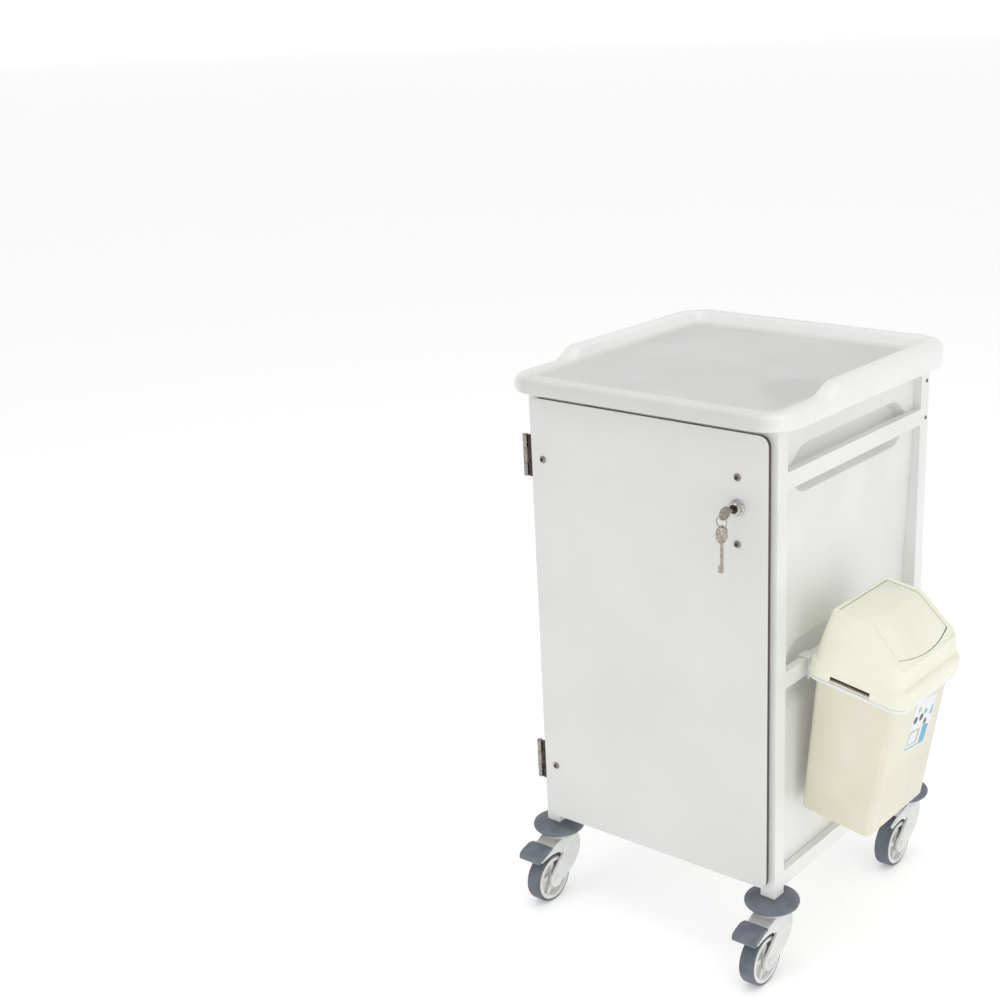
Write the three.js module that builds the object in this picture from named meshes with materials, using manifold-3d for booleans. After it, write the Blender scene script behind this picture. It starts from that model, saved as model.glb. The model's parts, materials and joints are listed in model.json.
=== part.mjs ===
// A ward bedside cabinet on castors: tray top, tube frame, moulded sides, laminate door with a key lock, and a
// waste bin hung on the right side. Millimetres, +X right, +Y back, +Z up, front of the posts at y = 0 while
// the pieces are made. The finished group is moved so that the origin is under the middle of its box.
import * as THREE from "three";
import { mergeVertices } from "three/addons/utils/BufferGeometryUtils.js";
import Module from "manifold-3d";

const wasm = await Module();
wasm.setup();

// ---------------------------------------------------------------- driving dimensions
const GAP = 0.3; // running gap between pieces that nearly touch

const TUBE = 25;
const FRAME_WIDTH = 435;
const FRAME_DEPTH = 442;
const FRAME_BOTTOM = 134;
const FRAME_TOP = 864;
const RAIL_HEIGHT = 25;
const RAIL_THICK = 12.5;
const UPPER_RAIL_Z = 777.5; // middle of each hanging rail
const MIDDLE_RAIL_Z = 480.5;
const LOWER_RAIL_Z = 157.5;

const TRAY = { halfX: 246, front: -34, back: 470, corner: 56, bottom: 858, floor: 876, low: 880, high: 897 };
const TRAY_STEP = { from: 90, to: 132 }; // where the side rim climbs from low to high, in y
const RIM_ROUND = 12; // outer rounding of the rim
const RIM_FLAT = 29; // where the flat of the rim ends, in from the outside
const RIM_WIDTH = 43; // where the tray floor starts

const PANEL_FACE = 204.5; // outer face of a side panel, from the middle
const PANEL_DISH = 8.5; // how far the face leans in above the middle rail
const PANEL_THICK = 4;
const RECESS = { halfLength: 181, halfTop: 141, halfHeight: 36, depth: 16, taper: 8, round: 14 };

const DOOR = { width: 417, bottom: 152, top: 847, front: -9.5, back: -3.5, corner: 17 };
const HINGE = { x: -226, y: -1.75, halfHeight: 32.5, upperZ: 754, lowerZ: 243, leaf: 1.3, barrel: 4.6, pin: 1.9 };
const HINGE_BOLT_X = -187;
const LOCK = { x: 158.5, z: 740, boltUpZ: 783, boltDownZ: 686 };
const BOLT = { headRadius: 5.6, headHeight: 3.4, shankRadius: 2.4 };

const KEY = { bowLength: 27, bowWidth: 19, thick: 2.2, shankRadius: 2.3, shankLength: 42, eye: 5.5, eyeRadius: 2.6 };
const RING = { radius: 8.5, wire: 0.8 };

const WHEEL = { radius: 41, rim: 36.4, halfWidth: 13, trail: 33, axle: 4 };
const AXLE_Z = 40.65; // height of the axle, with a flat of the wheel on the floor
const BUFFER = { radius: 42, bottom: 116, top: 134, bore: 8.4 };
const FORK = { legInside: 14.4, legThick: 4.2, legRound: 14.5, stem: 8, axleHead: 6 };
const PEDAL = { halfWidth: 21, back: -43, front: -80, pivotY: -46, pivotZ: 100 };

const BIN_TILT = THREE.MathUtils.degToRad(9.3); // the bin leans outwards at the top
const BIN_ORIGIN = new THREE.Vector3(302.5, 157.3, 464.2); // middle of the bin's rim
const BIN = {
  halfX: 66.4, halfY: 87, corner: 11, baseHalfX: 58.2, baseHalfY: 85.9, baseShift: 6.5, depth: 227.4, wall: 2.5,
};
const LIP = { halfX: 77.2, halfY: 91.8, corner: 18, low: 4.8, high: 8 }; // heights above BIN_ORIGIN, leaning
const SKIRT = { halfX: 80.3, halfY: 94.9, corner: 21, low: 6, shoulder: 27, high: 34 };
const HOOD = { wall: 2.5, ridgeZ: 34, slopeLowX: 66, slopeLowZ: 60, slopeTopX: -1, topZ: 109 };
const FLAP = { back: -54, hip: 1, front: 51.5, bulge: 10.5, halfY: 71, flare: 4.5, gap: 1.2, sink: 0.6, thick: 2.4 };
const RING_SLOT = 1.6; // gap between the bracket's ring and the bin's body

const ROUND = 24; // sides of a wheel or other large round piece
const SMALL_ROUND = 12; // sides of a bolt or pin

// ---------------------------------------------------------------- materials
const paint = (color, roughness, metalness = 0) => new THREE.MeshStandardMaterial({ color, roughness, metalness });
const WHITE_PAINT = paint(0xeff0ee, 0.35);
const WHITE_MOULDING = paint(0xebecea, 0.4);
const TRAY_WHITE = paint(0xecedeb, 0.4);
const DOOR_WHITE = paint(0xdddedc, 0.45);
const STEEL = paint(0xb9bbbc, 0.3, 0.9);
const CHROME = paint(0xd9dadb, 0.12, 1);
const BUFFER_GREY = paint(0x6f7780, 0.6);
const TYRE_GREY = paint(0x62686f, 0.65);
const CASTOR_WHITE = paint(0xdee0dd, 0.45);
const CREAM = paint(0xe0ddcb, 0.45);
const CREAM_LID = paint(0xf0f1e2, 0.4);

// ---------------------------------------------------------------- geometry helpers
/** Box from its limits on each axis. */
function box(x0, x1, y0, y1, z0, z1) {
  const geometry = new THREE.BoxGeometry(x1 - x0, y1 - y0, z1 - z0);
  return geometry.translate((x0 + x1) / 2, (y0 + y1) / 2, (z0 + z1) / 2);
}

const X = new THREE.Vector3(1, 0, 0);
const Y = new THREE.Vector3(0, 1, 0);
const Z = new THREE.Vector3(0, 0, 1);
const MINUS_Y = new THREE.Vector3(0, -1, 0);

/** Prism of a shape drawn in (y, z), from x0 to x1. */
function prismX(shape, x0, x1, curveSegments = 6) {
  const geometry = new THREE.ExtrudeGeometry(shape, { depth: x1 - x0, bevelEnabled: false, curveSegments });
  geometry.applyMatrix4(new THREE.Matrix4().makeBasis(Y, Z, X));
  return geometry.translate(x0, 0, 0);
}

/** Prism of a shape drawn in (x, z), from y0 to y1. */
function prismY(shape, y0, y1, curveSegments = 6) {
  const geometry = new THREE.ExtrudeGeometry(shape, { depth: y1 - y0, bevelEnabled: false, curveSegments });
  geometry.applyMatrix4(new THREE.Matrix4().makeBasis(X, Z, MINUS_Y));
  return geometry.translate(0, y1, 0);
}

/** Prism of a shape drawn in (x, y), from z0 to z1. */
function prismZ(shape, z0, z1, curveSegments = 6) {
  const geometry = new THREE.ExtrudeGeometry(shape, { depth: z1 - z0, bevelEnabled: false, curveSegments });
  return geometry.translate(0, 0, z0);
}

/** Shape through the points, with each corner rounded. */
function roundedShape(points, radius) {
  const shape = new THREE.Shape();
  const corners = points.map(([a, b]) => new THREE.Vector2(a, b));
  corners.forEach((corner, i) => {
    const before = corners[(i + corners.length - 1) % corners.length];
    const after = corners[(i + 1) % corners.length];
    const start = corner.clone().add(before.clone().sub(corner).setLength(radius));
    const end = corner.clone().add(after.clone().sub(corner).setLength(radius));
    if (i === 0) shape.moveTo(start.x, start.y);
    else shape.lineTo(start.x, start.y);
    shape.quadraticCurveTo(corner.x, corner.y, end.x, end.y);
  });
  shape.closePath();
  return shape;
}

/** Round hole for a shape. */
function hole(a, b, radius) {
  const path = new THREE.Path();
  path.absarc(a, b, radius, 0, 2 * Math.PI, true);
  return path;
}

/** Points of a rounded rectangle, anticlockwise from its front left, with extra stations along the sides. */
function roundedRectangle(x0, x1, y0, y1, radius, steps, stations = []) {
  const points = [];
  const arc = (cx, cy, startDegrees) => {
    for (let i = 0; i <= steps; i++) {
      const angle = THREE.MathUtils.degToRad(startDegrees + (90 * i) / steps);
      points.push([cx + radius * Math.cos(angle), cy + radius * Math.sin(angle)]);
    }
  };
  arc(x1 - radius, y0 + radius, -90);
  stations.forEach((y) => points.push([x1, y]));
  arc(x1 - radius, y1 - radius, 0);
  arc(x0 + radius, y1 - radius, 90);
  [...stations].reverse().forEach((y) => points.push([x0, y]));
  arc(x0 + radius, y0 + radius, 180);
  return points;
}

/** Closed body through rings of [x, y, z] points; the first and last rings are flat and become end faces. */
function loft(rings) {
  const count = rings[0].length;
  const positions = rings.flat(2);
  const indices = [];
  for (let r = 0; r + 1 < rings.length; r++) {
    for (let i = 0; i < count; i++) {
      const a = r * count + i;
      const b = r * count + ((i + 1) % count);
      indices.push(a, b, b + count, a, b + count, a + count);
    }
  }
  const cap = (ring, offset, faceUp) => {
    const outline = ring.map(([x, y]) => new THREE.Vector2(x, y));
    for (const [a, b, c] of THREE.ShapeUtils.triangulateShape(outline, [])) {
      if (faceUp) indices.push(offset + a, offset + b, offset + c);
      else indices.push(offset + a, offset + c, offset + b);
    }
  };
  cap(rings[0], 0, false);
  cap(rings[rings.length - 1], (rings.length - 1) * count, true);
  const geometry = new THREE.BufferGeometry();
  geometry.setAttribute("position", new THREE.Float32BufferAttribute(positions, 3));
  geometry.setIndex(indices);
  return geometry;
}

const atHeight = (points, z) => points.map(([x, y]) => [x, y, z]);

/** Body turned round Z from a closed profile of [radius, height] points. */
function latheZ(profile, sides = ROUND) {
  const points = [...profile, profile[0]].map(([r, h]) => new THREE.Vector2(r, h));
  return new THREE.LatheGeometry(points, sides).rotateX(Math.PI / 2);
}

/** Body turned round X, with a flat rather than a corner at the bottom. */
const latheX = (profile, sides = ROUND) => latheZ(profile, sides).rotateZ(Math.PI / sides).rotateY(Math.PI / 2);
const latheY = (profile, sides) => latheZ(profile, sides).rotateX(Math.PI / 2); // profile height runs to -Y

/** Round bar round Z. */
const rod = (radius, z0, z1, sides = SMALL_ROUND) =>
  latheZ([[0, z0], [radius, z0], [radius, z1], [0, z1]], sides);

/** Solid for cutting and joining. */
function solid(geometry) {
  const bare = geometry.clone();
  bare.deleteAttribute("normal");
  bare.deleteAttribute("uv");
  const merged = mergeVertices(bare, 1e-3);
  return new wasm.Manifold(
    new wasm.Mesh({
      numProp: 3,
      vertProperties: new Float32Array(merged.attributes.position.array),
      triVerts: new Uint32Array(merged.index.array),
    }),
  );
}

function geometryOf(body) {
  const mesh = body.getMesh();
  const geometry = new THREE.BufferGeometry();
  geometry.setAttribute("position", new THREE.Float32BufferAttribute(mesh.vertProperties, 3));
  geometry.setIndex(Array.from(mesh.triVerts));
  return geometry;
}

const join = (...geometries) => geometryOf(geometries.map(solid).reduce((a, b) => a.add(b)));
const cut = (geometry, ...tools) =>
  geometryOf(tools.map(solid).reduce((rest, tool) => rest.subtract(tool), solid(geometry)));
const common = (a, b) => geometryOf(solid(a).intersect(solid(b)));

/** The same piece for the other side of the cabinet. */
function mirrored(geometry) {
  const copy = mergeVertices(bareCopy(geometry), 1e-3).scale(-1, 1, 1);
  const index = copy.index.array;
  for (let i = 0; i < index.length; i += 3) [index[i], index[i + 1]] = [index[i + 1], index[i]];
  return copy;
}

function bareCopy(geometry) {
  const copy = geometry.clone();
  copy.deleteAttribute("normal");
  copy.deleteAttribute("uv");
  return copy;
}

const cabinet = new THREE.Group();

function add(parent, name, geometry, material) {
  const mesh = new THREE.Mesh(geometry, material);
  mesh.name = name;
  parent.add(mesh);
  return mesh;
}

// ---------------------------------------------------------------- tray top
function trayTop() {
  const steps = 8;
  const stations = [70];
  for (let y = TRAY_STEP.from; y <= TRAY_STEP.to; y += 6) stations.push(y);
  stations.push(152);
  const outline = (inset) =>
    roundedRectangle(
      -TRAY.halfX + inset, TRAY.halfX - inset, TRAY.front + inset, TRAY.back - inset,
      TRAY.corner - inset, steps, stations,
    );
  const rimTop = (y) => {
    const t = THREE.MathUtils.smootherstep(y, TRAY_STEP.from - 4, TRAY_STEP.to + 4);
    return TRAY.low + (TRAY.high - TRAY.low) * t;
  };
  const ring = (inset, height) => outline(inset).map(([x, y]) => [x, y, height(rimTop(y))]);
  const level = (inset, z) => atHeight(outline(inset), z);
  const rounding = [0, 30, 60, 90].map((degrees) => {
    const angle = THREE.MathUtils.degToRad(degrees);
    return ring(RIM_ROUND * (1 - Math.cos(angle)), (top) => top - RIM_ROUND * (1 - Math.sin(angle)));
  });
  const inner = [[0, 1], [0.2, 0.9], [0.45, 0.55], [0.7, 0.2], [1, 0]].map(([across, up]) =>
    ring(RIM_FLAT + (RIM_WIDTH - RIM_FLAT) * across, (top) => TRAY.floor + (top - TRAY.floor) * up),
  );
  return loft([
    level(12, FRAME_TOP),
    level(10, TRAY.bottom),
    level(2, TRAY.bottom),
    level(0, TRAY.bottom + 3),
    ...rounding,
    ...inner,
  ]);
}
add(cabinet, "tray_top", trayTop(), TRAY_WHITE);

// ---------------------------------------------------------------- frame
const HALF_WIDTH = FRAME_WIDTH / 2;
const POST_INSIDE = HALF_WIDTH - TUBE;
const REAR_POST = FRAME_DEPTH - TUBE;

function sideFrame() {
  const post = (y) => box(POST_INSIDE, HALF_WIDTH, y, y + TUBE, FRAME_BOTTOM, FRAME_TOP);
  const rail = (z) =>
    box(HALF_WIDTH - RAIL_THICK, HALF_WIDTH, TUBE - 1, REAR_POST + 1, z - RAIL_HEIGHT / 2, z + RAIL_HEIGHT / 2);
  return join(post(0), post(REAR_POST), rail(UPPER_RAIL_Z), rail(MIDDLE_RAIL_Z), rail(LOWER_RAIL_Z));
}
add(cabinet, "side_frame_right", sideFrame(), WHITE_PAINT);
add(cabinet, "side_frame_left", mirrored(sideFrame()), WHITE_PAINT);

const BACK_PANEL_Y = FRAME_DEPTH - 8;
const LOWER_RAIL_TOP = LOWER_RAIL_Z + RAIL_HEIGHT / 2;
for (const [name, y, top] of [
  ["cross_rail_top_front", 0, FRAME_TOP],
  ["cross_rail_top_back", BACK_PANEL_Y - RAIL_THICK - GAP, FRAME_TOP],
  ["cross_rail_bottom_front", 0, LOWER_RAIL_TOP],
  ["cross_rail_bottom_back", BACK_PANEL_Y - RAIL_THICK - GAP, LOWER_RAIL_TOP],
]) {
  add(cabinet, name, box(-POST_INSIDE, POST_INSIDE, y, y + RAIL_THICK, top - RAIL_HEIGHT, top), WHITE_PAINT);
}

// ---------------------------------------------------------------- panels
/** Outline of the long recess behind a hanging rail, as (y, z) points, drawn in or out by an amount. */
function recessOutline(centreZ, grow) {
  const middle = FRAME_DEPTH / 2;
  const long = RECESS.halfLength + grow;
  const short = RECESS.halfTop + grow * 0.6;
  const high = RECESS.halfHeight + grow;
  const shape = roundedShape(
    [
      [middle - short, centreZ - high], [middle + short, centreZ - high], [middle + long, centreZ],
      [middle + short, centreZ + high], [middle - short, centreZ + high], [middle - long, centreZ],
    ],
    RECESS.round,
  );
  return shape.getPoints(4).slice(0, -1).map((p) => [p.x, p.y]);
}

/** Tapered pan of the recess, from its mouth at mouthX to its floor at floorX nearer the middle. */
function recessPan(centreZ, grow, mouthX, floorX) {
  const ring = (outline, x) => outline.map(([y, z]) => [y, z, x]);
  const pan = loft([
    ring(recessOutline(centreZ, grow - RECESS.taper), floorX),
    ring(recessOutline(centreZ, grow), mouthX),
  ]);
  return pan.applyMatrix4(new THREE.Matrix4().makeBasis(Y, Z, X));
}

function sidePanel() {
  const bottom = LOWER_RAIL_Z - RAIL_HEIGHT / 2;
  const leaned = PANEL_FACE - PANEL_DISH;
  const face = [
    [PANEL_FACE, bottom], [PANEL_FACE, 425], [leaned, 440], [leaned, 525], [PANEL_FACE, 735],
    [PANEL_FACE, FRAME_TOP],
  ];
  const back = face.map(([x, z]) => [x - PANEL_THICK, z]).reverse();
  const profile = new THREE.Shape([...face, ...back].map(([x, z]) => new THREE.Vector2(x, z)));
  let sheet = prismY(profile, TUBE + GAP, REAR_POST - GAP);
  const floorX = PANEL_FACE - RECESS.depth;
  for (const [z, mouthX] of [[UPPER_RAIL_Z + 2, PANEL_FACE], [MIDDLE_RAIL_Z + 2, leaned]]) {
    const backing = recessPan(z, PANEL_THICK, mouthX - 1, floorX - PANEL_THICK);
    sheet = cut(join(sheet, backing), recessPan(z, 0, mouthX + 1, floorX));
  }
  return sheet;
}
add(cabinet, "side_panel_right", sidePanel(), WHITE_MOULDING);
add(cabinet, "side_panel_left", mirrored(sidePanel()), WHITE_MOULDING);

const backPanel = box(-POST_INSIDE + GAP, POST_INSIDE - GAP, BACK_PANEL_Y, BACK_PANEL_Y + 4,
  LOWER_RAIL_TOP - RAIL_HEIGHT, FRAME_TOP);
add(cabinet, "back_panel", backPanel, WHITE_MOULDING);

function basePanel() {
  const wide = PANEL_FACE - PANEL_THICK - GAP;
  const narrow = POST_INSIDE - GAP;
  const front = TUBE + GAP;
  const back = REAR_POST - GAP;
  const outline = [
    [-narrow, 0], [narrow, 0], [narrow, front], [wide, front], [wide, back], [narrow, back],
    [narrow, BACK_PANEL_Y - GAP], [-narrow, BACK_PANEL_Y - GAP], [-narrow, back], [-wide, back],
    [-wide, front], [-narrow, front],
  ];
  return prismZ(new THREE.Shape(outline.map(([x, y]) => new THREE.Vector2(x, y))), LOWER_RAIL_TOP,
    LOWER_RAIL_TOP + 4);
}
add(cabinet, "base_panel", basePanel(), WHITE_MOULDING);

const SHELF_Z = MIDDLE_RAIL_Z + 2 + RECESS.halfHeight + PANEL_THICK + GAP;
const SHELF_HALF = PANEL_FACE - PANEL_DISH - PANEL_THICK - 1.2;
add(cabinet, "shelf", box(-SHELF_HALF, SHELF_HALF, 27, BACK_PANEL_Y - GAP, SHELF_Z, SHELF_Z + 12), WHITE_MOULDING);

// ---------------------------------------------------------------- door
const HALF_DOOR = DOOR.width / 2;
const DOOR_BOLTS = [
  ["door_bolt_hinge_upper", HINGE_BOLT_X, HINGE.upperZ],
  ["door_bolt_hinge_lower", HINGE_BOLT_X, HINGE.lowerZ],
  ["door_bolt_lock_upper", LOCK.x, LOCK.boltUpZ],
  ["door_bolt_lock_lower", LOCK.x, LOCK.boltDownZ],
];
const BARREL = { radius: 9.6, flange: 12, bore: 6.6, front: -20 };

function doorPanel() {
  const corners = [
    [-HALF_DOOR, DOOR.bottom], [HALF_DOOR, DOOR.bottom], [HALF_DOOR, DOOR.top], [-HALF_DOOR, DOOR.top],
  ];
  const shape = roundedShape(corners, DOOR.corner);
  DOOR_BOLTS.forEach(([, x, z]) => shape.holes.push(hole(x, z, BOLT.shankRadius + GAP)));
  shape.holes.push(hole(LOCK.x, LOCK.z, BARREL.radius + GAP));
  return prismY(shape, DOOR.front, DOOR.back, 12);
}
add(cabinet, "door_panel", doorPanel(), DOOR_WHITE);

/** Domed bolt through the door; its shank ends at the given y. */
function doorBolt(shankEnd) {
  const { headRadius, headHeight, shankRadius } = BOLT;
  const face = -DOOR.front + GAP * 0.1;
  return latheY([
    [0, -shankEnd], [shankRadius, -shankEnd], [shankRadius, face], [headRadius, face], [headRadius, face + 0.8],
    [headRadius * 0.8, face + headHeight * 0.72], [headRadius * 0.42, face + headHeight * 0.95],
    [0, face + headHeight],
  ], SMALL_ROUND);
}

const LEAF_INNER_Y = HINGE.y - 0.35; // the two leaves face each other across a small gap
for (const [name, x, z] of DOOR_BOLTS) {
  const shankEnd = name.includes("hinge") ? LEAF_INNER_Y : DOOR.back;
  add(cabinet, name, doorBolt(shankEnd).translate(x, 0, z), STEEL);
}

// ---------------------------------------------------------------- hinges
const BARREL_PART = HINGE.halfHeight / 1.6; // half height of the middle barrel, times two thirds

/** Barrel of a hinge round Z between two heights, without its bore. */
const hingeBarrel = (z0, z1) => rod(HINGE.barrel, z0, z1, SMALL_ROUND).translate(HINGE.x, HINGE.y, 0);

function frameLeaf() {
  const { x, y, halfHeight, pin } = HINGE;
  const middle = BARREL_PART / 1.7;
  const plate = cut(
    box(x, -HALF_WIDTH + 18, y + 0.35, y + 0.35 + HINGE.leaf, -halfHeight, halfHeight),
    box(x - 6, x + HINGE.barrel + 1, y - 6, y + 6, -middle - GAP, middle + GAP),
  );
  const pinBar = rod(pin, -halfHeight + 1, halfHeight - 1).translate(x, y, 0);
  return join(plate, hingeBarrel(middle + GAP, halfHeight), hingeBarrel(-halfHeight, -middle - GAP), pinBar);
}

function doorLeaf() {
  const { x, y, halfHeight, pin, leaf } = HINGE;
  const middle = BARREL_PART / 1.7;
  const plate = cut(
    box(x, HINGE_BOLT_X + 10, LEAF_INNER_Y - leaf, LEAF_INNER_Y, -halfHeight, halfHeight),
    box(x - 6, x + HINGE.barrel + 1, y - 6, y + 6, middle, halfHeight + 1),
    box(x - 6, x + HINGE.barrel + 1, y - 6, y + 6, -halfHeight - 1, -middle),
  );
  const bore = rod(pin + GAP, -middle - 2, middle + 2).translate(x, y, 0);
  const boltHole = latheY([[0, -6], [BOLT.shankRadius + GAP, -6], [BOLT.shankRadius + GAP, 6], [0, 6]],
    SMALL_ROUND).translate(HINGE_BOLT_X, y, 0);
  return cut(join(plate, hingeBarrel(-middle, middle)), bore, boltHole);
}

for (const [end, z] of [["upper", HINGE.upperZ], ["lower", HINGE.lowerZ]]) {
  add(cabinet, `hinge_leaf_frame_${end}`, frameLeaf().translate(0, 0, z), STEEL);
  add(cabinet, `hinge_leaf_door_${end}`, doorLeaf().translate(0, 0, z), STEEL);
}

// ---------------------------------------------------------------- lock, keys
const CASE_BACK = 14;

/** Tube or ring round Y through the lock's middle, from [radius, distance in front of y = 0] points. */
const lockLathe = (profile, sides = ROUND) => latheY(profile, sides).translate(LOCK.x, 0, LOCK.z);

function lockBarrel() {
  const { radius, flange, bore, front } = BARREL;
  const face = -DOOR.front + GAP * 0.1;
  return lockLathe([
    [bore, -DOOR.back], [radius, -DOOR.back], [radius, face], [flange, face], [flange, face + 1.4],
    [flange - 1.2, face + 2.4], [radius, face + 3], [radius, -front - 1], [radius - 1, -front], [bore, -front],
  ]);
}
add(cabinet, "lock_barrel", lockBarrel(), CHROME);

function lockCase() {
  const body = box(LOCK.x - 16, LOCK.x + 14, DOOR.back, CASE_BACK, LOCK.z - 22, LOCK.z + 22);
  return cut(body, lockLathe([[0, -30], [BARREL.bore, -30], [BARREL.bore, 30], [0, 30]]));
}
add(cabinet, "lock_case", lockCase(), STEEL);

const PLUG_RADIUS = BARREL.bore - GAP;
const PLUG_FACE = -BARREL.front - 0.6;
const STUB = 9; // how far the key goes into the plug's keyway

function lockPlug() {
  const body = lockLathe([[0, -CASE_BACK - 0.4], [PLUG_RADIUS, -CASE_BACK - 0.4], [PLUG_RADIUS, PLUG_FACE],
    [0, PLUG_FACE]]);
  const keyway = lockLathe([[0, PLUG_FACE - STUB - 1], [KEY.shankRadius + GAP, PLUG_FACE - STUB - 1],
    [KEY.shankRadius + GAP, PLUG_FACE + 1], [0, PLUG_FACE + 1]], SMALL_ROUND);
  return cut(body, keyway);
}
add(cabinet, "lock_plug", lockPlug(), CHROME);

/** Cam behind the lock case, hanging straight down when the lock is open. */
function lockCam() {
  const blade = roundedShape([[-7, -29], [7, -29], [7, 8], [-7, 8]], 4);
  return prismY(blade, CASE_BACK + 0.7, CASE_BACK + 3.2, 3).translate(LOCK.x, 0, LOCK.z);
}
add(cabinet, "lock_cam", lockCam(), STEEL);

/** Key with its bow up and its shank hanging down the Z axis, flat in the YZ plane, from the bow's far end. */
function keyBody(shankLength, withBit) {
  const bow = new THREE.Shape();
  bow.absellipse(0, -KEY.bowLength / 2, KEY.bowWidth / 2, KEY.bowLength / 2, 0, 2 * Math.PI, false);
  bow.holes.push(hole(0, -KEY.eye, KEY.eyeRadius));
  const pieces = [prismX(bow, -KEY.thick / 2, KEY.thick / 2, 8)];
  pieces.push(rod(KEY.shankRadius, -KEY.bowLength - shankLength, -KEY.bowLength + 2));
  if (withBit) {
    const bottom = -KEY.bowLength - shankLength;
    pieces.push(box(-0.9, 0.9, -5.6, 0, bottom + 1, bottom + 5));
    pieces.push(box(-0.9, 0.9, -4.6, 0, bottom + 4, bottom + 8));
    pieces.push(box(-0.9, 0.9, -5.6, 0, bottom + 7, bottom + 11));
  }
  return join(...pieces);
}

/** The key in the lock: shank along +Y into the keyway, bow in front. */
const NECK = 8; // shank showing between the plug and the bow
const KEY_END_Y = -PLUG_FACE - KEY.bowLength - NECK; // front end of the bow
const keyInLock = keyBody(NECK + STUB, false).rotateX(Math.PI / 2).translate(LOCK.x, KEY_END_Y, LOCK.z);
add(cabinet, "key", keyInLock, STEEL);

/** Split ring through the bow's eye, and the spare key hanging from it. */
const EYE_Y = KEY_END_Y + KEY.eye;
const HANG = KEY.eyeRadius - RING.wire - 0.2; // the wire lies this far below the middle of the eye
const RING_Z = LOCK.z - HANG - RING.radius;
const splitRing = new THREE.TorusGeometry(RING.radius, RING.wire, 6, 20).rotateX(Math.PI / 2);
add(cabinet, "key_ring", splitRing.translate(LOCK.x, EYE_Y, RING_Z), CHROME);
const SPARE_TOP = RING_Z - RING.radius - HANG + KEY.eye;
const SPARE_TURN = THREE.MathUtils.degToRad(-25); // the spare key hangs a little turned
const spareKey = keyBody(KEY.shankLength, true).rotateZ(SPARE_TURN).translate(LOCK.x, EYE_Y, SPARE_TOP);
add(cabinet, "spare_key", spareKey, STEEL);

/** Angle plate on the post that the cam turns behind. */
function lockStrike() {
  const plate = box(POST_INSIDE - 11, POST_INSIDE, 9, 12, LOCK.z - 16, LOCK.z + 16);
  const flange = box(POST_INSIDE - 2, POST_INSIDE, 9, 24, LOCK.z - 16, LOCK.z + 16);
  return join(plate, flange);
}
add(cabinet, "lock_strike", lockStrike(), STEEL);

// ---------------------------------------------------------------- castors
function bufferDisc() {
  const { radius, bottom, top, bore } = BUFFER;
  return latheZ([
    [bore, bottom], [radius - 13, bottom], [radius - 4, bottom + 1.4], [radius - 0.8, bottom + 4.2],
    [radius, bottom + 7], [radius - 0.8, bottom + 9.6], [radius - 4, bottom + 12.6], [radius - 12, top - 2],
    [radius - 24, top], [bore, top],
  ]);
}

/** Side cheek of a fork in (y, z) from the swivel axis: crown, leg to the axle, and horn under the pedal. */
function cheekShape() {
  const shape = new THREE.Shape();
  const { trail } = WHEEL;
  const { legRound } = FORK;
  shape.moveTo(26, 99);
  shape.quadraticCurveTo(20, 106, 6, 107);
  shape.lineTo(-24, 106);
  shape.quadraticCurveTo(-44, 98.4, -68, 88);
  shape.lineTo(-68, 85.5);
  shape.quadraticCurveTo(-48, 91, -34, 88.5);
  shape.quadraticCurveTo(-17, 87, -14, 79);
  shape.lineTo(-trail - 12.3, AXLE_Z + 8);
  shape.absarc(-trail, AXLE_Z, legRound, THREE.MathUtils.degToRad(147), THREE.MathUtils.degToRad(322), false);
  shape.quadraticCurveTo(14, 42, 27, 66);
  shape.quadraticCurveTo(33, 82, 26, 99);
  shape.closePath();
  return shape;
}

function fork() {
  const outside = FORK.legInside + FORK.legThick;
  const shape = cheekShape();
  const leg = (x0) => prismX(shape, x0, x0 + FORK.legThick, 5);
  const bridge = new THREE.Shape([[27, 97], [20, 104], [6, 107], [-24, 106], [-41, 97.5], [-36, 92], [-14, 88],
    [10, 88], [24, 80], [28, 84]].map(([y, z]) => new THREE.Vector2(y, z)));
  const crownTop = BUFFER.bottom - GAP;
  const crown = latheZ([[0, 100], [25, 100], [25, 108], [21, crownTop], [FORK.stem, crownTop],
    [FORK.stem, FRAME_BOTTOM - GAP], [0, FRAME_BOTTOM - GAP]], 16);
  const bore = latheX([[0, -30], [WHEEL.axle + GAP, -30], [WHEEL.axle + GAP, 30], [0, 30]], SMALL_ROUND)
    .translate(0, -WHEEL.trail, AXLE_Z);
  const body = join(leg(-outside), leg(FORK.legInside), prismX(bridge, -outside + 0.5, outside - 0.5), crown);
  return cut(body, bore);
}

function axle() {
  const outside = FORK.legInside + FORK.legThick + 0.2;
  const { axle: radius } = WHEEL;
  const { axleHead: head } = FORK;
  return latheX([
    [0, -outside - 1.4], [head - 1.5, -outside - 1], [head, -outside], [radius, -outside], [radius, outside],
    [head, outside], [head - 1.5, outside + 1], [0, outside + 1.4],
  ], SMALL_ROUND);
}

function wheelHub() {
  const { rim, halfWidth, axle: axleRadius } = WHEEL;
  const face = [[axleRadius + GAP, halfWidth + 0.6], [9.5, halfWidth + 0.6], [11, halfWidth - 5],
    [27, halfWidth - 4], [32, halfWidth], [rim, halfWidth]];
  return latheX([...face.map(([r, x]) => [r, -x]), ...face.reverse()]);
}

function tyre() {
  const { radius, rim, halfWidth } = WHEEL;
  const inner = rim + 0.2;
  return latheX([[inner, -halfWidth + 0.5], [radius - 2, -halfWidth + 0.5], [radius, -halfWidth + 3],
    [radius, halfWidth - 3], [radius - 2, halfWidth - 0.5], [inner, halfWidth - 0.5]]);
}

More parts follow.
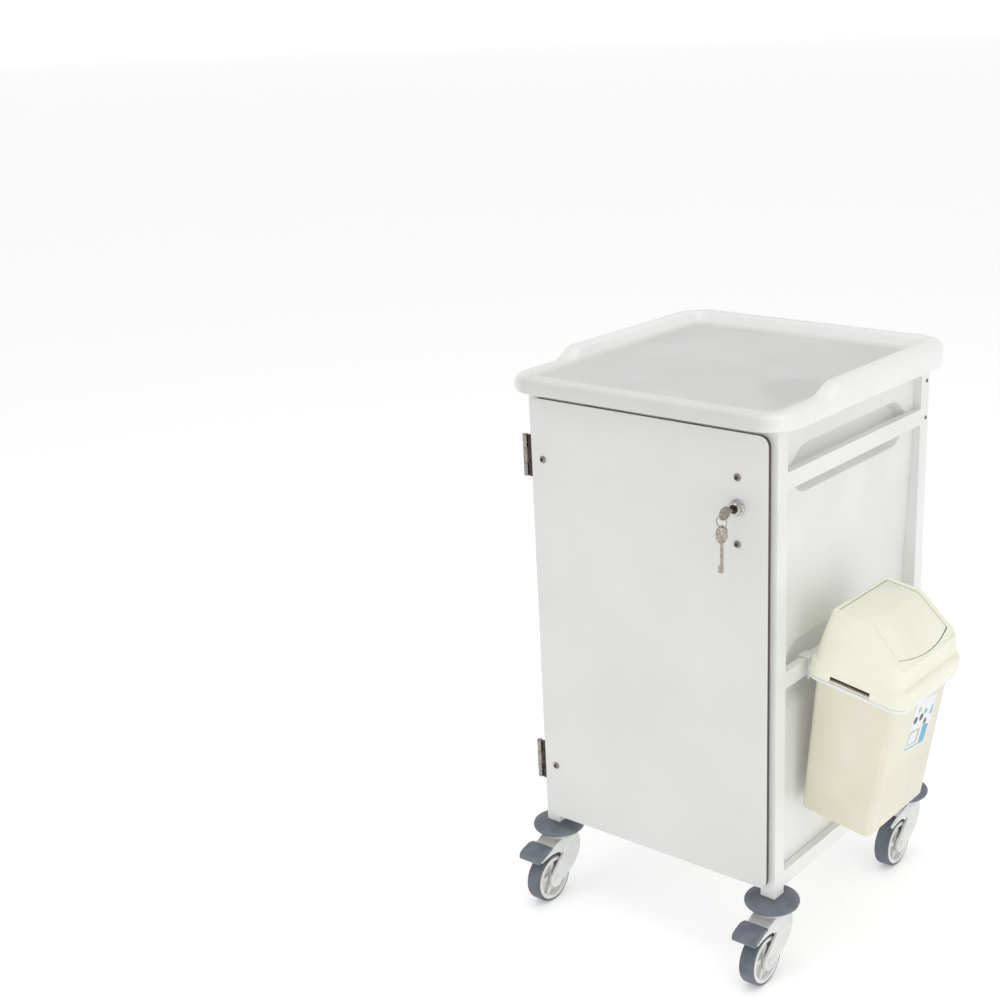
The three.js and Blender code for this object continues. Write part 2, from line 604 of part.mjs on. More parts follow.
/** Brake pedal ahead of the fork: a dished plate with a lip at its front, above the horns. */
function brakePedal() {
  const { back, front, halfWidth } = PEDAL;
  const profile = new THREE.Shape([[back, 99.5], [back, 104], [back - 12, 106.5], [front + 10, 102.5],
    [front + 2, 98], [front, 91], [front + 2, 87], [front + 5.5, 87], [front + 6.5, 92], [front + 13, 97.8]]
    .map(([y, z]) => new THREE.Vector2(y, z)));
  return prismX(profile, -halfWidth, halfWidth);
}

const POST_X = HALF_WIDTH - TUBE / 2;
const CASTORS = [
  ["front_left", -POST_X, TUBE / 2, true],
  ["front_right", POST_X, TUBE / 2, true],
  ["rear_left", -POST_X, FRAME_DEPTH - TUBE / 2, false],
  ["rear_right", POST_X, FRAME_DEPTH - TUBE / 2, false],
];
for (const [place, x, y, braked] of CASTORS) {
  const castor = new THREE.Group();
  castor.position.set(x, y, 0);
  cabinet.add(castor);
  add(castor, `buffer_${place}`, bufferDisc(), BUFFER_GREY);
  add(castor, `fork_${place}`, fork(), CASTOR_WHITE);
  const wheel = new THREE.Group();
  wheel.position.set(0, -WHEEL.trail, AXLE_Z);
  castor.add(wheel);
  add(wheel, `axle_${place}`, axle(), STEEL);
  add(wheel, `hub_${place}`, wheelHub(), CASTOR_WHITE);
  add(wheel, `tyre_${place}`, tyre(), TYRE_GREY);
  if (braked) add(castor, `pedal_${place}`, brakePedal(), BUFFER_GREY);
}

// ---------------------------------------------------------------- waste bin
const bin = new THREE.Group();
bin.position.copy(BIN_ORIGIN);
bin.rotation.y = BIN_TILT;
cabinet.add(bin);

/** Rounded rectangle round the bin's own middle, shifted along its X. */
const binOutline = (halfX, halfY, corner, shift = 0) =>
  roundedRectangle(-halfX + shift, halfX + shift, -halfY, halfY, corner, 5);

function binBody() {
  const { halfX, halfY, corner, baseHalfX, baseHalfY, baseShift, depth, wall } = BIN;
  const at = (drop, inset) => {
    const t = drop / depth;
    const hx = THREE.MathUtils.lerp(halfX, baseHalfX, t) - inset;
    const hy = THREE.MathUtils.lerp(halfY, baseHalfY, t) - inset;
    return atHeight(binOutline(hx, hy, corner - inset, baseShift * t), LIP.high - drop);
  };
  const lip = (z) => atHeight(binOutline(LIP.halfX, LIP.halfY, LIP.corner), z);
  return loft([
    at(depth, 7), at(depth - 2, 2), at(depth - 6, 0), at(LIP.high - LIP.low, 0), lip(LIP.low), lip(LIP.high),
    at(0, wall), at(depth - 6, wall), at(depth - 3.5, 4),
  ]);
}
add(bin, "bin_body", binBody(), CREAM);

/** Solid hood shape, drawn in by an amount all over; the inside is the same shape drawn in by the wall. */
function hoodSolid(inset) {
  const { ridgeZ, slopeLowX, slopeLowZ, slopeTopX, topZ } = HOOD;
  const peak = topZ - inset;
  const low = ridgeZ - 6 - inset;
  const lean = inset * 0.34; // how far the slope's ends move when it is drawn in
  const section = roundedShape([
    [-100, 0], [slopeLowX + 40, 0], [slopeLowX + 20, slopeLowZ - 4 - lean], [slopeLowX - lean, slopeLowZ - lean],
    [slopeTopX - lean, peak], [-62 + inset, peak],
  ], 6);
  const plan = (back, front, halfY, corner, z) =>
    atHeight(roundedRectangle(back + inset, front - inset, -halfY + inset, halfY - inset, corner, 4), z);
  const walls = loft([
    plan(-74, 74, 94, 18, low), plan(-72.5, 72.5, 93, 17, ridgeZ), plan(-70, 66.5, 88, 14, slopeLowZ),
    plan(-61, 66.5, 80.5, 9, topZ + 3),
  ]);
  const upper = common(prismY(section, -100, 100, 5), walls);
  const outline = (grow) => binOutline(SKIRT.halfX - inset + grow, SKIRT.halfY - inset + grow,
    SKIRT.corner - inset + grow);
  const skirt = loft([
    atHeight(outline(0), inset > 0 ? -4 : SKIRT.low), atHeight(outline(0), SKIRT.shoulder - inset),
    atHeight(outline(-1.6), SKIRT.shoulder + 4 - inset), atHeight(outline(-5), SKIRT.shoulder + 6.4 - inset),
    atHeight(outline(-10), SKIRT.high - inset),
  ]);
  return join(upper, skirt);
}

/** Plan of the flap's opening, flaring down the slope to a bulging front edge, as a tall prism. */
function flapPrism(inset) {
  const { back, hip, front, bulge, halfY, flare } = FLAP;
  const half = halfY - inset;
  const shape = new THREE.Shape();
  shape.moveTo(back + inset, -half);
  shape.lineTo(hip, -half);
  shape.lineTo(front - inset, -half - flare);
  shape.quadraticCurveTo(front + 2 * bulge - inset, 0, front - inset, half + flare);
  shape.lineTo(hip, half);
  shape.lineTo(back + inset, half);
  shape.closePath();
  return prismZ(shape, 40, 130, 12);
}

function binHood() {
  const notch = box(-38, 27, -SKIRT.halfY - 5, -SKIRT.halfY + 5, -5, 16);
  return cut(hoodSolid(0), hoodSolid(HOOD.wall), flapPrism(0), notch);
}
add(bin, "bin_hood", binHood(), CREAM_LID);

const binFlap = common(cut(hoodSolid(FLAP.sink), hoodSolid(FLAP.sink + FLAP.thick)), flapPrism(FLAP.gap));
add(bin, "bin_flap", binFlap, CREAM_LID);

/** Bracket: a flat ring round the bin, hooked over the middle rail. */
function binBracket() {
  const { halfX, halfY, corner } = BIN;
  const band = (outline, z0, z1) => loft([atHeight(outline, z0), atHeight(outline, z1)]);
  const outer = binOutline(LIP.halfX + 1.3, LIP.halfY + 1.2, LIP.corner + 1);
  const inner = binOutline(halfX + RING_SLOT, halfY + RING_SLOT, corner + RING_SLOT);
  const ring = cut(band(outer, LIP.low - 5.8, LIP.low - 0.4), band(inner, -20, 20));
  const leaning = new THREE.Matrix4().compose(
    BIN_ORIGIN, new THREE.Quaternion().setFromAxisAngle(Y, BIN_TILT), new THREE.Vector3(1, 1, 1),
  );
  ring.applyMatrix4(leaning);
  const railTop = MIDDLE_RAIL_Z + RAIL_HEIGHT / 2;
  const hook = (y) => {
    const shape = new THREE.Shape([
      [HALF_WIDTH + GAP, 462], [HALF_WIDTH + 3.5, 462], [HALF_WIDTH + 9.2, 476.4],
      [HALF_WIDTH + 9.2, 480.4], [HALF_WIDTH + 3.5, 483], [HALF_WIDTH + 3.5, railTop + 3], [HALF_WIDTH - RAIL_THICK - 3.5, railTop + 3],
      [HALF_WIDTH - RAIL_THICK - 3.5, railTop - 12], [HALF_WIDTH - RAIL_THICK - 0.8, railTop - 12],
      [HALF_WIDTH - RAIL_THICK - 0.8, railTop + GAP], [HALF_WIDTH + GAP, railTop + GAP],
    ].map(([x, z]) => new THREE.Vector2(x, z)));
    return prismY(shape, y - 11, y + 11);
  };
  return join(ring, hook(BIN_ORIGIN.y - 62), hook(BIN_ORIGIN.y + 62));
}
add(cabinet, "bin_bracket", binBracket(), WHITE_PAINT);

// ---------------------------------------------------------------- origin under the middle of the whole box
cabinet.updateMatrixWorld(true);
const bounds = new THREE.Box3().setFromObject(cabinet, true);
const middle = bounds.getCenter(new THREE.Vector3());
const group = new THREE.Group();
cabinet.position.set(-middle.x, -middle.y, -bounds.min.z);
group.add(cabinet);

export default group;
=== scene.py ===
import json
import math

import bmesh
import bpy
from mathutils import Matrix, Vector


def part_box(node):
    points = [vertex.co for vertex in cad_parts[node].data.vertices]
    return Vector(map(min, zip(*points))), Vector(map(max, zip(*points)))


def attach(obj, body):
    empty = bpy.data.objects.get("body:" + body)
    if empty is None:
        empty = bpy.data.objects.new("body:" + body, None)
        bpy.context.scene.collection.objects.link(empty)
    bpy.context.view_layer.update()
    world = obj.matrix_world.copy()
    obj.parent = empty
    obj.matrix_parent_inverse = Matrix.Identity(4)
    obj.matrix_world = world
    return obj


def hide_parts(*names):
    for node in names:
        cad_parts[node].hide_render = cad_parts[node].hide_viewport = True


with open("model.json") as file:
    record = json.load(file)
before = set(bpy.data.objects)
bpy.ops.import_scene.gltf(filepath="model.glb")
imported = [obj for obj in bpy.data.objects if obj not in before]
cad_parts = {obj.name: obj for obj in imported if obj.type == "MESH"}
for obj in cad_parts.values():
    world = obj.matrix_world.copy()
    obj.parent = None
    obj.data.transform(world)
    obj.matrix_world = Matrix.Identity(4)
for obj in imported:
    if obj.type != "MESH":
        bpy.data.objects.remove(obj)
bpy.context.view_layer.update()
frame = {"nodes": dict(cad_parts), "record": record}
NODES = frame["nodes"]
BODY_OF = {node: body for body, nodes in frame["record"]["behaviour"]["bodies"].items() for node in nodes}
FRONT_PLACES = ("front_left", "front_right")
PLACES = FRONT_PLACES + ("rear_left", "rear_right")

MM = 0.001
POST_FACE = 217.5  # outer face of the right posts, in millimetres from the middle of the cabinet
# The CAD part is drawn from the middle of the cabinet and the front of its posts. SHIFT moves such a point
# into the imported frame, whose origin is under the middle of the whole box.
POST_LOW, POST_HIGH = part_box("side_frame_right")
SHIFT = Vector((POST_HIGH.x - POST_FACE * MM, POST_LOW.y, 0))


# ---------------------------------------------------------------- camera
CAMERA_PLACE = Vector((1.30154, -1.76846, 1.43491)) + SHIFT
CAMERA_AZIMUTH = math.radians(37.643)
CAMERA_ELEVATION = math.radians(19.830)
CAMERA_ROLL = math.radians(-1.634)
CAMERA_LENS = 57.72  # millimetres
CAMERA_SENSOR = 36  # millimetres wide
CAMERA_REACH = 100  # metres
CAMERA_SHIFT = (-0.1155, 0.0513)


def make_camera():
    """Camera at the photograph's place, looking along its azimuth and elevation with a slight roll."""
    azimuth, elevation, roll = CAMERA_AZIMUTH, CAMERA_ELEVATION, CAMERA_ROLL
    back = Vector((math.sin(azimuth) * math.cos(elevation), -math.cos(azimuth) * math.cos(elevation),
                   math.sin(elevation)))
    right = Vector((0, 0, 1)).cross(back).normalized()
    up = back.cross(right)
    rolled_right = right * math.cos(roll) + up * math.sin(roll)
    rolled_up = up * math.cos(roll) - right * math.sin(roll)
    data = bpy.data.cameras.new("camera")
    data.lens = CAMERA_LENS
    data.sensor_width = CAMERA_SENSOR
    data.shift_x, data.shift_y = CAMERA_SHIFT
    data.clip_end = CAMERA_REACH
    camera = bpy.data.objects.new("camera", data)
    turn = Matrix((rolled_right, rolled_up, back)).transposed().to_4x4()
    camera.matrix_world = Matrix.Translation(CAMERA_PLACE) @ turn
    bpy.context.scene.collection.objects.link(camera)
    bpy.context.scene.camera = camera


make_camera()


# ---------------------------------------------------------------- materials
COAT_ROUGHNESS = 0.15
# Samples for the painted shade in corners and seams
CORNER_SHADE_SAMPLES = 4


def linear(r, g, b):
    """Linear colour of an sRGB colour given from 0 to 255."""
    def channel(value):
        value /= 255
        return value / 12.92 if value <= 0.04045 else ((value + 0.055) / 1.055) ** 2.4
    return (channel(r), channel(g), channel(b), 1)


class Finish:
    """A Principled material whose colour, roughness and bump are built up in steps."""

    def __init__(self, name, colour, roughness, metallic=0.0, coat=0.0):
        self.material = bpy.data.materials.new(name)
        self.material.use_nodes = True
        self.tree = self.material.node_tree
        self.shader = self.tree.nodes["Principled BSDF"]
        self.shader.inputs["Base Color"].default_value = linear(*colour)
        self.shader.inputs["Roughness"].default_value = roughness
        self.shader.inputs["Metallic"].default_value = metallic
        self.shader.inputs["Coat Weight"].default_value = coat
        self.shader.inputs["Coat Roughness"].default_value = COAT_ROUGHNESS
        self.place = self.tree.nodes.new("ShaderNodeTexCoord").outputs["Object"]
        self.normal = None

    def link(self, output, socket):
        self.tree.links.new(output, socket)

    def stretched(self, scale):
        """Object coordinates scaled by an amount on each axis."""
        node = self.tree.nodes.new("ShaderNodeMapping")
        node.inputs["Scale"].default_value = scale
        self.link(self.place, node.inputs["Vector"])
        return node.outputs["Vector"]

    def noise(self, scale, detail=3.0, stretch=None):
        """Noise from 0 to 1, with scale features to the metre, which can be squeezed along an axis."""
        node = self.tree.nodes.new("ShaderNodeTexNoise")
        node.inputs["Scale"].default_value = scale
        node.inputs["Detail"].default_value = detail
        self.link(self.stretched(stretch) if stretch else self.place, node.inputs["Vector"])
        return node.outputs["Fac"]

    def ramp(self, factor, low, high, at=(0.35, 0.65)):
        """Grey values between low and high as the factor passes between two places."""
        node = self.tree.nodes.new("ShaderNodeMapRange")
        node.inputs["From Min"].default_value, node.inputs["From Max"].default_value = at
        node.inputs["To Min"].default_value = low
        node.inputs["To Max"].default_value = high
        self.link(factor, node.inputs["Value"])
        return node.outputs["Result"]

    def math(self, operation, a, b=None):
        """Result of an operation on an output and, where it needs one, a second output or a number."""
        node = self.tree.nodes.new("ShaderNodeMath")
        node.operation = operation
        self.link(a, node.inputs[0])
        if isinstance(b, bpy.types.NodeSocket):
            self.link(b, node.inputs[1])
        elif b is not None:
            node.inputs[1].default_value = b
        return node.outputs[0]

    def mix(self, factor, a, b):
        """Colour between a and b, each an sRGB colour or the output of a node."""
        node = self.tree.nodes.new("ShaderNodeMix")
        node.data_type = "RGBA"
        self.link(factor, node.inputs["Factor"])
        # Inputs 6 and 7 and output 2 are the ones for colours.
        for value, socket in ((a, node.inputs[6]), (b, node.inputs[7])):
            if isinstance(value, bpy.types.NodeSocket):
                self.link(value, socket)
            else:
                socket.default_value = linear(*value)
        return node.outputs[2]

    def mottle(self, a, b, scale):
        """Uneven colour between a and b."""
        colour = self.mix(self.ramp(self.noise(scale, 4), 0, 1), a, b)
        self.link(colour, self.shader.inputs["Base Color"])
        return colour

    def uneven_gloss(self, low, high, scale):
        """Roughness that varies between low and high."""
        self.link(self.ramp(self.noise(scale), low, high), self.shader.inputs["Roughness"])

    def bump(self, height, strength, depth):
        """Relief of a depth in millimetres, on top of any relief made before."""
        node = self.tree.nodes.new("ShaderNodeBump")
        node.inputs["Strength"].default_value = strength
        node.inputs["Distance"].default_value = depth * MM
        self.link(height, node.inputs["Height"])
        if self.normal is not None:
            self.link(self.normal, node.inputs["Normal"])
        self.normal = node.outputs["Normal"]
        self.link(self.normal, self.shader.inputs["Normal"])

    def painted_corner_shade(self, colour, shade_colour, reach, amount):
        """Painted shade: darkens a colour in corners and seams, within a reach in millimetres."""
        node = self.tree.nodes.new("ShaderNodeAmbientOcclusion")
        node.samples = CORNER_SHADE_SAMPLES
        node.inputs["Distance"].default_value = reach * MM
        shade = self.ramp(node.outputs["AO"], amount, 0, at=(0.2, 0.85))
        self.link(self.mix(shade, colour, shade_colour), self.shader.inputs["Base Color"])


def powder_coat():
    """White paint on steel, with a fine orange-peel texture."""
    finish = Finish("white_powder_coat", (238, 239, 237), 0.34, coat=0.15)
    finish.mottle((238, 239, 237), (232, 233, 230), 9)
    finish.uneven_gloss(0.28, 0.42, 60)
    finish.bump(finish.noise(520, 2), 0.22, 0.06)
    return finish.material


TRAY_FLOOR = 876 * MM  # height of the tray's floor
TRAY_MIDDLE = Vector((0, 218, 0)) * MM + SHIFT
TRAY_HALF = (246 * MM, 252 * MM)  # half width and half depth of the tray
TRAY_RIM_FOOT = 44 * MM  # where the rim meets the floor, in from the outside
TRAY_SIDE_CREST = 16 * MM  # where the darker floor colour has faded out, in from the side and from the back
TRAY_BACK_CREST = 26 * MM
TRAY_LIP = (1 * MM, 8 * MM)  # heights above the floor between which the darker floor colour fades out


def tray_plastic():
    """White moulding, with a darker floor colour that runs out over the low front lip."""
    finish = Finish("tray_moulding", (236, 237, 235), 0.3, coat=0.2)
    rim = finish.mix(finish.ramp(finish.noise(6), 0, 1), (240, 241, 238), (235, 236, 233))
    floor = finish.mix(finish.ramp(finish.noise(9), 0, 1), (211, 212, 210), (206, 207, 204))
    place = finish.tree.nodes.new("ShaderNodeSeparateXYZ")
    finish.link(finish.place, place.inputs["Vector"])
    across = finish.math("ABSOLUTE", finish.math("SUBTRACT", place.outputs["X"], TRAY_MIDDLE.x))
    along = finish.math("SUBTRACT", place.outputs["Y"], TRAY_MIDDLE.y)
    half_width, half_depth = TRAY_HALF
    inside = finish.ramp(across, 1, 0, at=(half_width - TRAY_RIM_FOOT, half_width - TRAY_SIDE_CREST))
    front = finish.ramp(along, 1, 0, at=(half_depth - TRAY_RIM_FOOT, half_depth - TRAY_BACK_CREST))
    low = finish.ramp(place.outputs["Z"], 1, 0, at=(TRAY_FLOOR + TRAY_LIP[0], TRAY_FLOOR + TRAY_LIP[1]))
    # Mask of the darker floor colour
    floor_darkening = finish.math("MULTIPLY", finish.math("MULTIPLY", inside, front), low)
    finish.link(finish.mix(floor_darkening, rim, floor), finish.shader.inputs["Base Color"])
    finish.uneven_gloss(0.3, 0.38, 12)
    finish.bump(finish.noise(1400, 3), 0.12, 0.03)
    return finish.material


PANEL_GLOW = 0.1  # a little light of its own, so that panels set back in the frame don't look too dark


def panel_plastic():
    """White moulding of the panels and the shelf, slightly wavy and finely grained."""
    finish = Finish("side_moulding", (232, 233, 231), 0.4)
    colour = finish.mottle((224, 225, 223), (218, 219, 216), 7)
    finish.link(colour, finish.shader.inputs["Emission Color"])
    finish.shader.inputs["Emission Strength"].default_value = PANEL_GLOW
    finish.uneven_gloss(0.34, 0.48, 40)
    finish.bump(finish.noise(1600, 3), 0.25, 0.06)
    finish.bump(finish.noise(14, 2), 0.15, 0.5)
    return finish.material


BEVEL_FACING = (0.3, 0.35)  # how far a surface faces front or back where the core gives way to the bevel
SHEET_FACING = (0.97, 0.99)  # and where the painted highlight on the bevel gives way to the flat sheet


def door_laminate():
    """White laminate on its faces, a painted highlight on the bevel, and a dark resin core on its narrow
    edges.
    """
    finish = Finish("door_laminate", (226, 227, 225), 0.42)
    faces = finish.mix(finish.ramp(finish.noise(5), 0, 1), (224, 225, 223), (219, 220, 217))
    core = finish.mix(finish.ramp(finish.noise(260, 4), 0, 1), (58, 46, 42), (84, 72, 66))
    split = finish.tree.nodes.new("ShaderNodeSeparateXYZ")
    geometry = finish.tree.nodes.new("ShaderNodeNewGeometry")
    facing = finish.tree.nodes.new("ShaderNodeVectorTransform")
    facing.vector_type = "NORMAL"
    facing.convert_from, facing.convert_to = "WORLD", "OBJECT"
    finish.link(geometry.outputs["True Normal"], facing.inputs["Vector"])
    finish.link(facing.outputs["Vector"], split.inputs["Vector"])
    facing_front = finish.math("ABSOLUTE", split.outputs["Y"])
    # Near-white on the bevel is a painted highlight
    laminate = finish.mix(finish.ramp(facing_front, 0, 1, at=SHEET_FACING), (252, 252, 250), faces)
    colour = finish.mix(finish.ramp(facing_front, 0, 1, at=BEVEL_FACING), core, laminate)
    finish.link(colour, finish.shader.inputs["Base Color"])
    finish.uneven_gloss(0.36, 0.5, 25)
    finish.bump(finish.noise(2200, 3), 0.35, 0.05)
    return finish.material


STEEL_LIGHTER, STEEL_DARKER = 14, 22  # how far the patches of a steel differ from its own colour


def steel(name, colour, roughness):
    """Steel with faint patches and a fine relief that is drawn out level."""
    finish = Finish(name, colour, roughness, metallic=1.0)
    light = tuple(c + STEEL_LIGHTER for c in colour)
    dark = tuple(c - STEEL_DARKER for c in colour)
    finish.mottle(light, dark, 320)
    finish.uneven_gloss(roughness - 0.08, roughness + 0.12, 180)
    finish.bump(finish.noise(900, 2, stretch=(1, 1, 8)), 0.25, 0.03)
    return finish.material


def chrome():
    """Bright plating of the lock's barrel."""
    finish = Finish("lock_chrome", (205, 203, 197), 0.12, metallic=1.0)
    finish.mottle((212, 210, 204), (172, 168, 160), 240)
    finish.uneven_gloss(0.08, 0.2, 300)
    return finish.material


def slate_rubber(name, light, dark):
    """Dull grained rubber or plastic, with painted shade in its corners."""
    finish = Finish(name, light, 0.55)
    colour = finish.mottle(light, dark, 45)
    finish.uneven_gloss(0.45, 0.68, 80)
    finish.bump(finish.noise(1300, 3), 0.4, 0.08)
    # Painted shade in the corners and seams
    finish.painted_corner_shade(colour, tuple(c * 0.55 for c in dark), 10, 0.6)
    return finish.material


def castor_plastic():
    """White moulding of the forks, axles and hubs, with yellowish painted shade in its corners."""
    finish = Finish("castor_moulding", (226, 228, 225), 0.38)
    colour = finish.mottle((230, 232, 229), (220, 221, 216), 30)
    finish.uneven_gloss(0.32, 0.48, 70)
    finish.bump(finish.noise(1500, 3), 0.3, 0.06)
    # Yellowish painted shade in the corners and seams
    finish.painted_corner_shade(colour, (170, 166, 154), 6, 0.35)
    return finish.material


def cream_plastic(name, light, dark):
    """Cream moulding of the bin or its lid, slightly wavy and finely grained."""
    finish = Finish(name, light, 0.36, coat=0.1)
    finish.mottle(light, dark, 12)
    finish.uneven_gloss(0.3, 0.45, 50)
    finish.bump(finish.noise(1200, 3), 0.25, 0.06)
    finish.bump(finish.noise(22, 2), 0.12, 0.3)
    return finish.material


def printed_paper(name, light, dark):
    """Paper in one printed colour."""
    finish = Finish(name, light, 0.45)
    finish.mottle(light, dark, 160)
    finish.bump(finish.noise(900, 2), 0.15, 0.02)
    return finish.material


POWDER_COAT = powder_coat()
TRAY_PLASTIC = tray_plastic()
PANEL_PLASTIC = panel_plastic()
DOOR_LAMINATE = door_laminate()
STEEL = steel("satin_steel", (178, 181, 184), 0.3)
# Paler steel of the hinge barrels is a painted highlight on the round barrel
BARREL_HIGHLIGHT_STEEL = steel("hinge_barrel_painted_highlight", (158, 152, 146), 0.24)
DARK_STEEL = steel("dark_steel", (74, 66, 62), 0.36)
BOLT_STEEL = steel("bolt_steel", (150, 143, 134), 0.3)
KEY_STEEL = steel("key_nickel", (166, 160, 150), 0.22)
# Black for the sockets of the screws and bolts is painted shade in their recesses
SOCKET_SHADE_BLACK = slate_rubber("socket_painted_shade", (42, 38, 38), (30, 27, 27))
LOCK_CHROME = chrome()
BUFFER_RUBBER = slate_rubber("buffer_rubber", (116, 123, 132), (101, 108, 117))
TYRE_RUBBER = slate_rubber("tyre_rubber", (106, 112, 121), (91, 97, 106))
CASTOR_PLASTIC = castor_plastic()
BIN_CREAM = cream_plastic("bin_cream", (231, 228, 208), (225, 221, 200))
LID_CREAM = cream_plastic("lid_cream", (241, 242, 223), (235, 235, 215))
LABEL_WHITE = printed_paper("label_white", (238, 240, 240), (228, 231, 232))
LABEL_BLUE = printed_paper("label_blue", (112, 184, 206), (96, 168, 192))
LABEL_GREY = printed_paper("label_grey", (196, 198, 198), (182, 184, 185))
LABEL_DARK = printed_paper("label_dark", (92, 94, 97), (72, 74, 78))


# ---------------------------------------------------------------- finished copies of the CAD nodes
FLAT_AREA = 300  # square millimetres, above which a face can be kept flat
SAME_POINT = 0.005  # millimetres
SAME_PLANE = 0.6  # degrees
THIN_EDGE = 0.01  # millimetres
AXIS_POINT = 0.002  # millimetres, within which the points of a turned body on its axis become one
PRISM_CREASE = 35  # degrees
TURNED_CREASE = 38


def is_bent(edge, degrees):
    """True where the two faces of an edge meet at more than an angle."""
    return edge.calc_face_angle(0) > math.radians(degrees)


def set_shading(bm, crease, flats=False):
    """Smooth faces with a crease at each edge bent more than crease degrees; flats keeps big faces flat."""
    for face in bm.faces:
        face.smooth = not (flats and face.calc_area() > FLAT_AREA * MM * MM)
    for edge in bm.edges:
        edge.smooth = not is_bent(edge, crease)


def linked_object(name, bm, material):
    """Object made from a bmesh and put in the scene."""
    mesh = bpy.data.meshes.new(name)
    bm.to_mesh(mesh)
    bm.free()
    mesh.materials.append(material)
    made = bpy.data.objects.new(name, mesh)
    bpy.context.scene.collection.objects.link(made)
    return made


def new_piece(name, bm, material, body):
    """Object made from a bmesh, riding on a body."""
    piece = linked_object(name, bm, material)
    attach(piece, body)
    return piece


def finished(node, material, radius=0.0, segments=2, bend=30, crease=40, flats=False):
    """Copy of a CAD node that stands for it; edges bent more than bend are rounded to a radius in mm."""
    bm = bmesh.new()
    bm.from_mesh(NODES[node].data)
    bmesh.ops.remove_doubles(bm, verts=bm.verts, dist=SAME_POINT * MM)
    bmesh.ops.dissolve_limit(bm, angle_limit=math.radians(SAME_PLANE), verts=bm.verts, edges=bm.edges)
    if radius:
        edges = [edge for edge in bm.edges if is_bent(edge, bend)]
        bmesh.ops.bevel(bm, geom=edges, offset=radius * MM, segments=segments, profile=0.5, affect="EDGES",
                        clamp_overlap=True)
        bmesh.ops.dissolve_degenerate(bm, dist=THIN_EDGE * MM, edges=bm.edges)
    set_shading(bm, crease, flats)
    piece = new_piece(node + "_finished", bm, material, BODY_OF[node])
    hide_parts(node)
    return piece


def prism(name, outline, low, high, place, material, body):
    """Straight body from an outline of (a, b) points; place(a, b, c) puts each corner, c is low or high."""
    bm = bmesh.new()
    bottom = [bm.verts.new(place(a, b, low)) for a, b in outline]
    top = [bm.verts.new(place(a, b, high)) for a, b in outline]
    bm.faces.new(bottom[::-1])
    bm.faces.new(top)
    for i in range(len(outline)):
        j = (i + 1) % len(outline)
        bm.faces.new((bottom[i], bottom[j], top[j], top[i]))
    bmesh.ops.recalc_face_normals(bm, faces=bm.faces)
    set_shading(bm, PRISM_CREASE)
    return new_piece(name, bm, material, body)


def turned(name, profile, centre, axis, material, body, sides):
    """Body turned round an axis through a centre, from a closed profile of (radius, distance) in mm."""
    along = Vector(axis).normalized()
    across = along.orthogonal().normalized()
    third = along.cross(across)
    bm = bmesh.new()
    rings = []
    for i in range(sides):
        angle = 2 * math.pi * (i + 0.5) / sides
        out = across * math.cos(angle) + third * math.sin(angle)
        rings.append([bm.verts.new(centre + (out * r + along * d) * MM) for r, d in profile])
    for i, ring in enumerate(rings):
        following = rings[(i + 1) % sides]
        for j in range(len(profile)):
            k = (j + 1) % len(profile)
            bm.faces.new((ring[j], ring[k], following[k], following[j]))
    bmesh.ops.remove_doubles(bm, verts=bm.verts, dist=AXIS_POINT * MM)
    bmesh.ops.recalc_face_normals(bm, faces=bm.faces)
    set_shading(bm, TURNED_CREASE)
    return new_piece(name, bm, material, body)


def middle_of(node):
    """Middle of a CAD node's box."""
    low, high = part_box(node)
    return (low + high) / 2


def paint_faces(piece, material, chosen):
    """Gives a second material to the faces whose middle passes a test."""
    piece.data.materials.append(material)
    for face in piece.data.polygons:
        if chosen(face.center):
            face.material_index = 1


POST_SCREW_HEIGHTS = (832, 773.6)
POST_SCREW_BACK = 433.5  # from the front of the posts
# Profiles of (radius, distance along the axis), in millimetres.
POST_SCREW = [(0, -1), (3.4, -1), (3.4, 0.3), (2.6, 1), (0, 1.3)]
POST_SCREW_SOCKET = [(0, 0.9), (1.9, 0.9), (1.9, 1.5), (0, 1.5)]
SCREW_SIDES = 24
SOCKET_SIDES = 6


def post_screw(name, centre):
    """Small domed screw in the outer face of the rear post, with a black hexagon as painted shade in its
    socket.
    """
    out = (1, 0, 0)
    turned(name, POST_SCREW, centre, out, BOLT_STEEL, "cabinet", SCREW_SIDES)
    turned(name + "_socket", POST_SCREW_SOCKET, centre, out, SOCKET_SHADE_BLACK, "cabinet", SOCKET_SIDES)


def finish_cabinet():
    """Tray, frame, panels, shelf, the bin's bracket, the lock's strike and the screws in the rear post."""
    finished("tray_top", TRAY_PLASTIC, crease=60)
    for side in ("left", "right"):
        finished("side_frame_" + side, POWDER_COAT, 1.5, 3, flats=True)
        finished("side_panel_" + side, PANEL_PLASTIC, 1.6, 3, bend=20, flats=True)
    for rail in ("top_front", "top_back", "bottom_front", "bottom_back"):
        finished("cross_rail_" + rail, POWDER_COAT, 1.2, 2, flats=True)
    for panel in ("back_panel", "base_panel", "shelf"):
        finished(panel, PANEL_PLASTIC, 0.8, 2, flats=True)
    finished("bin_bracket", POWDER_COAT, 0.5, 2)
    finished("lock_strike", STEEL, 0.4, 2)
    for number, height in enumerate(POST_SCREW_HEIGHTS, 1):
        post_screw("post_screw_%d" % number, Vector((POST_FACE, POST_SCREW_BACK, height)) * MM + SHIFT)


BARREL_WIDTH = 9.4  # across a hinge, from the leaf's outer edge


def finish_hinge(end):
    """Both leaves, with the barrel round the pin painted paler as a painted highlight."""
    for leaf in ("frame", "door"):
        node = "hinge_leaf_%s_%s" % (leaf, end)
        piece = finished(node, DARK_STEEL, 0.25, 2, bend=50)
        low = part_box(node)[0]
        # The paler barrel is a painted highlight
        paint_faces(piece, BARREL_HIGHLIGHT_STEEL, lambda centre: centre.x < low.x + BARREL_WIDTH * MM)


BOLT_SOCKET = [(0, 0.9), (3, 0.9), (3, -0.15), (0, -0.15)]


